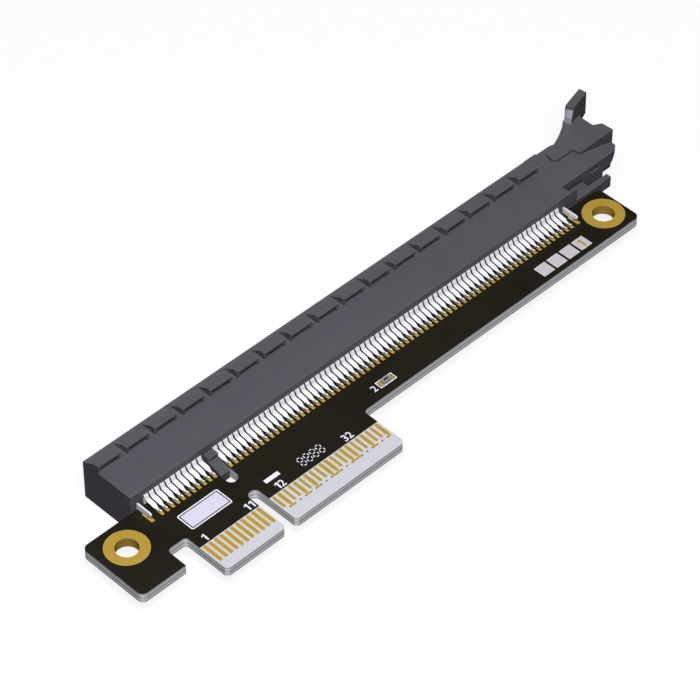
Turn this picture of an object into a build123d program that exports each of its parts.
"""A riser card that turns a narrow card edge into a full length card slot.

The card edge at -Y plugs into a short slot. The straddle mount slot at +Y takes
a full length card, and its latch lever swings about a post at the +X end.
The origin is midway between the two mounting holes, on the board's lower face.
X runs along the slot, Y towards its mouth and Z up. All sizes are in millimetres.
"""
import os

from build123d import *

# Board
board_length = 104.3
board_thickness = 1.6
band_depth = 8.5
wing_width = 8.0
wing_depth = 12.3
edge_reach = 16.8
board_corner_radius = 1.0
board_inner_radius = 0.65
tab_chamfer = 0.5

# Mounting holes, with their plated walls and rings
hole_spacing = 96.35
hole_to_end = 4.42
hole_to_slot_edge = 4.31
hole_radius = 1.75
plating_wall = 0.05
ring_radius = 3.28
copper_thickness = 0.04

# Solder mask
mask_thickness = 0.03
mask_stop_depth = 11.3

# Contact grid: both card edges and the slot share one pitch and one key place
contact_pitch = 1.0
first_contact_from_end = 12.14
short_row_count = 11
edge_long_row_count = 21
slot_long_row_count = 71
key_offset = 11.5
edge_key_width = 1.9
tab_side_margin = 0.65

# Card edge fingers. On the long tab they are shorter, and those marked T are wide and end in a tie bar
finger_setback = 0.1
finger_width = 0.62
narrow_finger_width = 0.52
short_row_finger_length = 3.65
long_row_finger_length = 2.6
finger_corner = 0.16
tie_neck_width = 0.42
tie_neck_length = 0.45
tie_width = 0.34
tie_length = 1.3
tie_pattern = ".T..T.T..TT..TT..T..T"

# Slot housing
housing_length = 88.9
housing_from_board_end = 9.05
housing_depth = 9.81
board_to_housing_gap = 0.01
plateau_height = 3.15
mouth_edge_drop = 0.1
housing_bottom = 2.4

# Card slot inside the housing
slot_height = 1.8
slot_end_margin = 0.75
slot_depth = 8.3
slot_key_width = 1.75
lead_in = 0.5
lip_depth = 1.9
chamber_height = 5.1

# Shoulder blocks along the mouth
shoulder_count = 17
shoulder_pitch = 5.282
shoulder_width = 4.09
shoulder_setback = 3.35
shoulder_height = 1.3
ridge_depth = 0.8
fall_hollow = 0.07
shoulder_root = 0.5
pocket_height = 0.92
pocket_depth = 0.9
pocket_side_wall = 0.37

# Locating peg of the housing and its notch in the board
peg_width = 1.65
peg_reach = 3.47
peg_slope = 0.9
peg_block_height = 1.7
peg_block_reach = 1.15
board_notch_width = 2.0
board_notch_depth = 5.67

# Contacts
blade_width = 0.78
blade_thickness = 0.2
foot_width = 0.36
tail_exit_height = 1.7
blade_clearance = 0.02
beam_end_depth = 2.3
beam_gap = 1.1

# Contact tail: distances back from the board's slot edge and heights over its face
knee_back = 0.68
knee_height = 0.82
neck_back = 1.85
neck_height = 0.48
foot_back = 2.15
toe_back = 2.83
toe_lift = 0.12

# Solder pads of the contacts
pad_width = 0.58
pad_length = 2.05
pad_setback = 1.22

# Hold downs at both ends of the contact rows
hold_down_thickness = 0.25
hold_down_reach = 2.85
hold_down_height = 1.18
hold_down_root = 1.0
hold_down_corner = 0.2
hold_down_beak = 0.7
hold_down_sole = 0.55
hold_down_heel = 1.25
hold_down_lift = 0.1
hold_down_from_left_end = 1.235
hold_down_from_right_end = 1.435

# Latch end of the housing
post_width = 1.5
post_drop_top = 0.15
post_drop_bottom = 2.35
wall_from_mouth = 7.94
wall_length = 11.6
tip_outline = [(-3.5, 2.85), (-0.3, 2.2), (1.4, 1.6), (1.3, 0.8), (0, 0)]
ledge_length = 9.2
ledge_top = 0.7
ledge_bottom = 1.26
ledge_width = 0.92
ledge_slot_start = 5.05
undercut_outline = [(9.45, 0.8), (11.15, 0.95), (11.6, 1.55)]
recess_height = 1.3
recess_depth = 0.35
window_start = 6.65
window_width = 1.8
window_floor = 1.75
window_height = 0.75
window_depth = 0.6
cheek_step = 2.65
groove_width = 0.15
groove_depth = 0.2
groove_spans = [(1.3, 4.89, 0.54), (4.45, 4.94, 3.64)]

# Latch lever
pivot_from_body_end = 5.25
pivot_from_mouth = 2.45
pivot_radius = 1.0
pivot_clearance = 0.05
pivot_boss_radius = 2.2
lever_clearance = 0.15
lever_flange = 0.45
lever_gap = 0.3
lever_floor_gap = 0.1
fin_thickness = 1.28
fin_direction = (0.965, 0.262)
fin_from_pivot = (5.78, 2.74)
fin_outline = [(0, 1.1), (0.8, 3.05), (4.7, 3.05), (4.85, -1.2), (3.9, -1.6), (2.3, -1.6)]
fin_skew = 0.65
fin_rise = 0.15

# Lever outline, seen from above and measured from its pivot
lever_back = [(-2.07, -0.64), (-1.57, -1.23), (1.9, -1.17), (2.1, -2.49)]
lever_arm = [(9.53, -2.47), (9.39, -0.36), (8.07, 0.41), (8.12, 3.38)]
lever_front = [(5.5, 4.29), (4.34, 3.34)]
lever_hollow = [(2.3, 2.24), (0.53, 1.52), (-1.37, 1.33), (-1.91, 0.83)]

# Chip resistor
chip_length = 1.55
chip_width = 0.85
chip_height = 0.4
chip_cap = 0.3
chip_x = -0.22
chip_y = -2.1
chip_pad_length = 0.8
chip_pad_width = 0.9
chip_pad_spacing = 1.75

# Places worked out from the sizes above
board_left = -hole_spacing / 2 - hole_to_end
board_right = board_left + board_length
board_top_edge = hole_to_slot_edge
band_bottom = board_top_edge - band_depth
wing_bottom = board_top_edge - wing_depth
tab_bottom = board_top_edge - edge_reach
mask_stop = board_top_edge - mask_stop_depth
first_contact = board_left + first_contact_from_end
key_x = first_contact + key_offset * contact_pitch
middle_z = board_thickness / 2
mask_top = board_thickness + mask_thickness
pad_top = mask_top + copper_thickness
rear_face = board_top_edge + board_to_housing_gap
mouth = rear_face + housing_depth
body_left = board_left + housing_from_board_end
body_right = body_left + housing_length
plateau = board_thickness + plateau_height
housing_floor = -housing_bottom

key_gap_pitches = 2
short_row = [first_contact + i * contact_pitch for i in range(short_row_count)]
long_start = short_row[-1] + (key_gap_pitches + 1) * contact_pitch
edge_long_row = [long_start + i * contact_pitch for i in range(edge_long_row_count)]
slot_long_row = [long_start + i * contact_pitch for i in range(slot_long_row_count)]
slot_row = short_row + slot_long_row
tab_left = short_row[0] - tab_side_margin
tab_right = edge_long_row[-1] + tab_side_margin
slot_left = slot_row[0] - slot_end_margin
slot_right = slot_row[-1] + slot_end_margin


def finish(piece, name):
    """Label a finished piece and write it to its own file."""
    piece.part.label = name
    export_step(piece.part, f"parts/{name}.step")


def below(points):
    """The same profile mirrored about the middle of the board."""
    return [(y, board_thickness - z) for y, z in points]


def strip(points, thickness):
    """The outline of a bent strip: its centre line moved half a thickness to each side."""
    half = thickness / 2
    sides = []
    for sign in (1, -1):
        for i, (y, z) in enumerate(points):
            arms = []
            for a, b in ((i - 1, i), (i, i + 1)):
                if a >= 0 and b < len(points):
                    run = Vector(*points[b]) - Vector(*points[a])
                    arms.append(Vector(-run.Y, run.X).normalized())
            mitre = (arms[0] + arms[-1]).normalized()
            reach = sign * half / mitre.dot(arms[0])
            sides.append((y + mitre.X * reach, z + mitre.Y * reach))
    count = len(points)
    return sides[:count] + sides[count:][::-1]


def section_plane(start, end):
    """The plane across a strip at its end, with its width along X."""
    run = Vector(0, *end) - Vector(0, *start)
    return Plane(origin=(0, *end), x_dir=(1, 0, 0), z_dir=run.normalized())


def board_outline():
    """Wing, step, tabs and band as one closed face, with both notches cut."""
    Polygon(
        (board_left, board_top_edge),
        (board_left, wing_bottom),
        (board_left + wing_width, wing_bottom),
        (board_left + wing_width, band_bottom),
        (tab_left, band_bottom),
        (tab_left, tab_bottom),
        (tab_right, tab_bottom),
        (tab_right, band_bottom),
        (board_right, band_bottom),
        (board_right, board_top_edge),
        align=None,
    )
    corners = vertices().sort_by(Axis.X)
    fillet(corners[2:-2].group_by(Axis.Y)[-1], board_inner_radius)
    corners = vertices().sort_by(Axis.X)
    fillet(corners[:2] + corners[-2:], board_corner_radius)
    key_radius = edge_key_width / 2
    key_top = band_bottom - key_radius
    with Locations((key_x, (tab_bottom + key_top) / 2)):
        Rectangle(edge_key_width, key_top - tab_bottom, mode=Mode.SUBTRACT)
    with Locations((key_x, key_top)):
        Circle(key_radius, mode=Mode.SUBTRACT)
    chamfer(vertices().group_by(Axis.Y)[0], tab_chamfer)
    notch_radius = board_notch_width / 2
    notch_centre = board_top_edge - board_notch_depth + notch_radius
    with Locations((key_x, (notch_centre + board_top_edge) / 2)):
        Rectangle(board_notch_width, board_top_edge - notch_centre, mode=Mode.SUBTRACT)
    with Locations((key_x, notch_centre)):
        Circle(notch_radius, mode=Mode.SUBTRACT)


os.makedirs("parts", exist_ok=True)
hole_places = [(-hole_spacing / 2, 0), (hole_spacing / 2, 0)]

# Laminate
with BuildPart() as board_laminate:
    with BuildSketch():
        board_outline()
        with Locations(*hole_places):
            Circle(hole_radius + plating_wall, mode=Mode.SUBTRACT)
    extrude(amount=board_thickness)
finish(board_laminate, "board_laminate")

# Solder mask on both faces, stopped short of the two tabs' edge
for name, height in (("solder_mask_top", board_thickness), ("solder_mask_bottom", -mask_thickness)):
    with BuildPart() as solder_mask:
        with BuildSketch(Plane.XY.offset(height)):
            board_outline()
            with Locations(*hole_places):
                Circle(ring_radius, mode=Mode.SUBTRACT)
            with Locations(((tab_left + tab_right) / 2, (tab_bottom + mask_stop) / 2)):
                Rectangle(tab_right - tab_left, mask_stop - tab_bottom, mode=Mode.SUBTRACT)
        extrude(amount=mask_thickness)
    finish(solder_mask, name)

# Plated mounting holes: a barrel with a ring on each face
for name, place in zip(("plated_hole_left", "plated_hole_right"), hole_places):
    with BuildPart() as plated_hole:
        with BuildSketch(Plane.XY.offset(-copper_thickness)):
            with Locations(place):
                Circle(hole_radius + plating_wall)
                Circle(hole_radius, mode=Mode.SUBTRACT)
        extrude(amount=board_thickness + 2 * copper_thickness)
        with BuildSketch(Plane.XY.offset(-copper_thickness), Plane.XY.offset(board_thickness)):
            with Locations(place):
                Circle(ring_radius)
                Circle(hole_radius, mode=Mode.SUBTRACT)
        extrude(amount=copper_thickness)
    finish(plated_hole, name)

# Fingers of both tabs on both faces; the wide ones on the long tab end in a tie bar
finger_top = mask_stop - finger_setback
for tab, row, length, marks in (
    ("short", short_row, short_row_finger_length, "W" * short_row_count),
    ("long", edge_long_row, long_row_finger_length, tie_pattern),
):
    for face, height in (("top", board_thickness), ("bottom", -copper_thickness)):
        with BuildPart() as fingers:
            with BuildSketch(Plane.XY.offset(height)):
                for x, mark in zip(row, marks):
                    with Locations((x, finger_top - length / 2)):
                        Rectangle(narrow_finger_width if mark == "." else finger_width, length)
                chamfer(vertices().group_by(Axis.Y)[0], finger_corner)
                for x, mark in zip(row, marks):
                    if mark == "T":
                        with Locations((x, finger_top - length - tie_neck_length / 2)):
                            Rectangle(tie_neck_width, tie_neck_length)
                        with Locations((x, finger_top - length - tie_neck_length)):
                            Rectangle(tie_length, tie_width)
            extrude(amount=copper_thickness)
        finish(fingers, f"fingers_{tab}_{face}")

# Solder pads under the contact tails and the hold downs
pad_y = board_top_edge - pad_setback - pad_length / 2
hold_down_places = [body_left + hold_down_from_left_end, body_right - hold_down_from_right_end]
for face, height in (("top", mask_top), ("bottom", -mask_thickness - copper_thickness)):
    with BuildPart() as tail_pads:
        with BuildSketch(Plane.XY.offset(height)):
            with Locations(*[(x, pad_y) for x in slot_row]):
                Rectangle(pad_width, pad_length)
        extrude(amount=copper_thickness)
    finish(tail_pads, f"tail_pads_{face}")
with BuildPart() as hold_down_pads:
    with BuildSketch(Plane.XY.offset(mask_top), Plane.XY.offset(-mask_thickness - copper_thickness)):
        with Locations(*[(x, pad_y) for x in hold_down_places]):
            Rectangle(pad_width, pad_length)
    extrude(amount=copper_thickness)
finish(hold_down_pads, "hold_down_pads")

# Contacts: a wide strip bent from the beam inside the slot to its neck, a taper, and a narrow foot
neck = (board_top_edge - neck_back, board_thickness + neck_height)
knee = (board_top_edge - knee_back, board_thickness + knee_height)
wall_point = (rear_face - blade_thickness / 2, board_thickness + tail_exit_height)
beam_tip = (mouth - beam_end_depth, middle_z + (beam_gap + blade_thickness) / 2)
foot = (board_top_edge - foot_back, pad_top + blade_thickness / 2)
toe = (board_top_edge - toe_back, foot[1] + toe_lift)
with BuildPart() as contact:
    with BuildSketch(Plane.YZ):
        Polygon(*strip([beam_tip, wall_point, knee, neck], blade_thickness), align=None)
    extrude(amount=blade_width / 2, both=True)
    with BuildSketch(section_plane(knee, neck)):
        Rectangle(blade_width, blade_thickness)
    with BuildSketch(section_plane(toe, foot)):
        Rectangle(foot_width, blade_thickness)
    loft(ruled=True)
    with BuildSketch(Plane.YZ):
        Polygon(*strip([foot, toe], blade_thickness), align=None)
    extrude(amount=foot_width / 2, both=True)
with BuildPart() as contacts_top:
    with Locations(*[(x, 0, 0) for x in slot_row]):
        add(contact.part)
finish(contacts_top, "contacts_top")
with BuildPart() as contacts_bottom:
    mirror(contacts_top.part, about=Plane.XY.offset(middle_z))
finish(contacts_bottom, "contacts_bottom")

# Hold downs: thin upright clips that straddle the board at both ends of the rows
clip_top = board_thickness + hold_down_height
clip_front = board_top_edge - hold_down_reach
clip_heel = board_top_edge - hold_down_heel
clip_profile = [
    (rear_face + hold_down_root, clip_top),
    (clip_front + hold_down_corner, clip_top),
    (clip_front, clip_top - hold_down_corner),
    (clip_front, board_thickness + hold_down_beak),
    (clip_heel - hold_down_sole, pad_top),
    (clip_heel, pad_top),
    (clip_heel + hold_down_lift, pad_top + hold_down_lift),
    (rear_face + blade_clearance, pad_top + hold_down_lift),
]
for name, place in zip(("hold_down_left", "hold_down_right"), hold_down_places):
    with BuildPart() as hold_down:
        with BuildSketch(Plane.YZ.offset(place)):
            Polygon(*clip_profile, *reversed(below(clip_profile)), align=None)
        extrude(amount=hold_down_thickness / 2, both=True)
    finish(hold_down, name)

# Slot housing: the long body with its shoulder blocks, and the latch end beyond it
pivot = (body_right + pivot_from_body_end, mouth - pivot_from_mouth)
shoulder_y = mouth - shoulder_setback
ridge_end = shoulder_y + ridge_depth
ridge_z = plateau + shoulder_height
wall_y = mouth - wall_from_mouth
wall_right = body_right + wall_length
mouth_top = plateau - mouth_edge_drop
with BuildPart() as slot_housing:
    with BuildSketch(Plane.YZ.offset(body_left)):
        with BuildLine():
            Polyline(
                (rear_face, housing_floor),
                (mouth, housing_floor),
                (mouth, mouth_top),
                (mouth - mouth_edge_drop, plateau),
                (rear_face, plateau),
                close=True,
            )
        make_face()
    extrude(amount=housing_length)

    # Shoulder blocks with a convex fall to the mouth and an undercut pocket behind
    shoulder_planes = [Plane.YZ.offset(body_left + i * shoulder_pitch) for i in range(shoulder_count)]
    with BuildSketch(*shoulder_planes):
        with BuildLine():
            Polyline(
                (mouth, mouth_top),
                (mouth, mouth_top - shoulder_root),
                (shoulder_y, mouth_top - shoulder_root),
                (shoulder_y, ridge_z),
                (ridge_end, ridge_z),
            )
            middle_of_fall = ((ridge_end + mouth) / 2, (ridge_z + mouth_top) / 2 - fall_hollow)
            ThreePointArc((ridge_end, ridge_z), middle_of_fall, (mouth, mouth_top))
        make_face()
    extrude(amount=shoulder_width)
    pocket_length = shoulder_width - 2 * pocket_side_wall
    pocket_planes = [Plane(origin=plane.origin + (pocket_side_wall, 0, 0), x_dir=(0, 1, 0), z_dir=(1, 0, 0))
                     for plane in shoulder_planes]
    with BuildSketch(*pocket_planes):
        with Locations((shoulder_y + pocket_depth / 2, plateau + pocket_height / 2)):
            Rectangle(pocket_depth, pocket_height)
    extrude(amount=pocket_length, mode=Mode.SUBTRACT)

    # Latch end: rear post, tall wall with its pointed tip, and the pivot boss
    with BuildSketch(Plane.XY.offset(housing_floor)):
        with BuildLine():
            Polyline(
                (body_right, rear_face),
                (body_right + post_width, rear_face),
                (body_right + post_width, wall_y),
                *[(wall_right + x, wall_y + y) for x, y in reversed(tip_outline)],
                (pivot[0] + pivot_boss_radius, wall_y + tip_outline[0][1]),
                (pivot[0] + pivot_boss_radius, pivot[1]),
            )
            RadiusArc((pivot[0] + pivot_boss_radius, pivot[1]), (pivot[0], pivot[1] + pivot_boss_radius),
                      -pivot_boss_radius)
            Polyline(
                (pivot[0], pivot[1] + pivot_boss_radius),
                (body_right + cheek_step, pivot[1] + pivot_boss_radius),
                (body_right + cheek_step, mouth),
                (body_right, mouth),
                (body_right, rear_face),
            )
        make_face()
    extrude(amount=plateau - housing_floor)

    # Ramp that drops the post's top towards the rear
    with BuildSketch(Plane.YZ.offset(body_right)):
        with BuildLine():
            Polyline(
                (rear_face, plateau),
                (rear_face, plateau - post_drop_top),
                (wall_y, plateau - post_drop_bottom),
                (wall_y, plateau),
                close=True,
            )
        make_face()
    extrude(amount=post_width, mode=Mode.SUBTRACT)

    # The wall's tip ends higher up than the rest of the wall
    tip_plane = Plane(origin=(body_right, mouth, board_thickness), x_dir=(1, 0, 0), z_dir=(0, -1, 0))
    tip_end = 2 * wall_length
    with BuildSketch(tip_plane):
        Polygon(
            (undercut_outline[0][0], housing_floor - board_thickness),
            *undercut_outline,
            (tip_end, undercut_outline[-1][1]),
            (tip_end, housing_floor - board_thickness),
            align=None,
        )
    extrude(amount=mouth - rear_face, mode=Mode.SUBTRACT)

    # Ledge beside the post, level with the board and slotted off from the wall at its far end
    with BuildSketch(Plane.XY.offset(board_thickness - ledge_bottom)):
        Polygon(
            (body_right, rear_face),
            (body_right + ledge_length, rear_face),
            (body_right + ledge_length, rear_face + ledge_width),
            (body_right + ledge_slot_start, rear_face + ledge_width),
            (body_right + ledge_slot_start, wall_y),
            (body_right, wall_y),
            align=None,
        )
    extrude(amount=ledge_top + ledge_bottom)

    # Shallow recess over the ledge and a small window beside it, both in the wall's rear face
    wall_plane = Plane(origin=(body_right, wall_y, board_thickness), x_dir=(1, 0, 0), z_dir=(0, -1, 0))
    with BuildSketch(wall_plane):
        with Locations(((post_width + ledge_slot_start) / 2, ledge_top + recess_height / 2)):
            Rectangle(ledge_slot_start - post_width, recess_height)
    extrude(amount=-recess_depth, mode=Mode.SUBTRACT)
    with BuildSketch(wall_plane):
        with Locations((window_start + window_width / 2, window_floor + window_height / 2)):
            Rectangle(window_width, window_height)
    extrude(amount=-window_depth, mode=Mode.SUBTRACT)

    # Two fine grooves in the top of the latch end
    with BuildSketch(Plane.XY.offset(plateau)):
        for along, far, near in groove_spans:
            with Locations((body_right + along, mouth - (far + near) / 2)):
                Rectangle(groove_width, far - near)
    extrude(amount=-groove_depth, mode=Mode.SUBTRACT)

    # Locating peg through the board's notch, with its stop block above
    peg_top = board_thickness + peg_slope
    peg_profile = [
        (rear_face, board_thickness + peg_block_height),
        (rear_face - peg_block_reach, board_thickness + peg_block_height),
        (rear_face - peg_block_reach, peg_top),
        (rear_face - peg_reach, board_thickness),
    ]
    with BuildSketch(Plane.YZ.offset(key_x)):
        Polygon(*peg_profile, *reversed(below(peg_profile)), align=None)
    extrude(amount=peg_width / 2, both=True)

    # Card slot: lead-in, lip and the chamber that holds the contact beams
    half = slot_height / 2
    chamber = chamber_height / 2
    slot_profile = [
        (mouth, middle_z + half + lead_in),
        (mouth - lead_in, middle_z + half),
        (mouth - lip_depth, middle_z + half),
        (mouth - lip_depth, middle_z + chamber),
        (mouth - slot_depth, middle_z + chamber),
    ]
    segments = [(slot_left, key_x - slot_key_width / 2), (key_x + slot_key_width / 2, slot_right)]
    for start, end in segments:
        with BuildSketch(Plane.YZ.offset(start)):
            Polygon(*slot_profile, *reversed(below(slot_profile)), align=None)
        extrude(amount=end - start, mode=Mode.SUBTRACT)

        # Slits through the rear wall for the contacts, sloped like their beams
        slit = strip([wall_point, beam_tip], blade_thickness + 2 * blade_clearance)
        for fold in (list, below):
            with BuildSketch(Plane.YZ.offset(start)):
                Polygon(*fold(slit), align=None)
            extrude(amount=end - start, mode=Mode.SUBTRACT)

    # Slots that hold the roots of the hold downs
    with BuildSketch(*[Plane.YZ.offset(x) for x in hold_down_places]):
        with Locations((rear_face + hold_down_root / 2, middle_z)):
            Rectangle(hold_down_root + 2 * blade_clearance, 2 * (clip_top - middle_z + blade_clearance))
    extrude(amount=hold_down_thickness / 2 + blade_clearance, both=True, mode=Mode.SUBTRACT)

    # Bore for the lever's pivot
    with BuildSketch(Plane.XY.offset(housing_floor)):
        with Locations(pivot):
            Circle(pivot_radius + pivot_clearance)
    extrude(amount=plateau - housing_floor, mode=Mode.SUBTRACT)
finish(slot_housing, "slot_housing")

# Latch lever: a flange over the cheek, a deep arm with its thumb fin, and the pivot post
flange_z = plateau + lever_clearance
lever_top = flange_z + lever_flange
lever_floor = housing_floor + lever_floor_gap
arm_height = flange_z - lever_floor
pivot_plane = Plane(origin=(pivot[0], pivot[1], 0))
with BuildPart() as latch_lever:
    with BuildSketch(pivot_plane.offset(flange_z)):
        Polygon(*lever_back, *lever_arm, *lever_front, *lever_hollow, align=None)
    extrude(amount=lever_flange)

    # Arm below the flange, hollowed round the pivot boss
    with BuildSketch(pivot_plane.offset(lever_floor)):
        hollow_radius = pivot_boss_radius + lever_gap
        Polygon((hollow_radius, lever_back[-1][1]), *lever_arm, lever_front[-1], lever_hollow[0], align=None)
        Circle(hollow_radius, mode=Mode.SUBTRACT)
    extrude(amount=arm_height)

    # Thumb fin, standing across the arm's front edge, with its left side swept back
    fin_origin = (pivot[0] + fin_from_pivot[0], pivot[1] + fin_from_pivot[1], lever_top)
    fin_plane = Plane(fin_origin, x_dir=(*fin_direction, 0), z_dir=(fin_direction[1], -fin_direction[0], 0))
    fin_near = [(0, -lever_flange), *fin_outline, (fin_outline[-1][0], -lever_flange)]
    fin_far = [fin_near[0], fin_near[1], (fin_near[2][0] - fin_skew, fin_near[2][1] + fin_rise)]
    fin_far += [(fin_near[3][0], fin_near[3][1] + fin_rise), *fin_near[4:]]
    with BuildSketch(fin_plane):
        Polygon(*fin_near, align=None)
    with BuildSketch(fin_plane.offset(-fin_thickness)):
        Polygon(*fin_far, align=None)
    loft(ruled=True)

    # Pivot post, level with the underside of the arm
    with BuildSketch(pivot_plane.offset(lever_floor)):
        Circle(pivot_radius)
    extrude(amount=arm_height)
finish(latch_lever, "latch_lever")

# Chip resistor with two end caps, on its two pads
pad_places = [(chip_x - chip_pad_spacing / 2, chip_y), (chip_x + chip_pad_spacing / 2, chip_y)]
with BuildPart() as resistor_pads:
    with BuildSketch(Plane.XY.offset(mask_top)):
        with Locations(*pad_places):
            Rectangle(chip_pad_length, chip_pad_width)
    extrude(amount=copper_thickness)
finish(resistor_pads, "resistor_pads")
with BuildPart() as resistor_body:
    with BuildSketch(Plane.XY.offset(pad_top)):
        with Locations((chip_x, chip_y)):
            Rectangle(chip_length - 2 * chip_cap, chip_width)
    extrude(amount=chip_height)
finish(resistor_body, "resistor_body")
cap_spacing = chip_length - chip_cap
with BuildPart() as resistor_caps:
    with BuildSketch(Plane.XY.offset(pad_top)):
        with Locations((chip_x - cap_spacing / 2, chip_y), (chip_x + cap_spacing / 2, chip_y)):
            Rectangle(chip_cap, chip_width)
    extrude(amount=chip_height)
finish(resistor_caps, "resistor_caps")
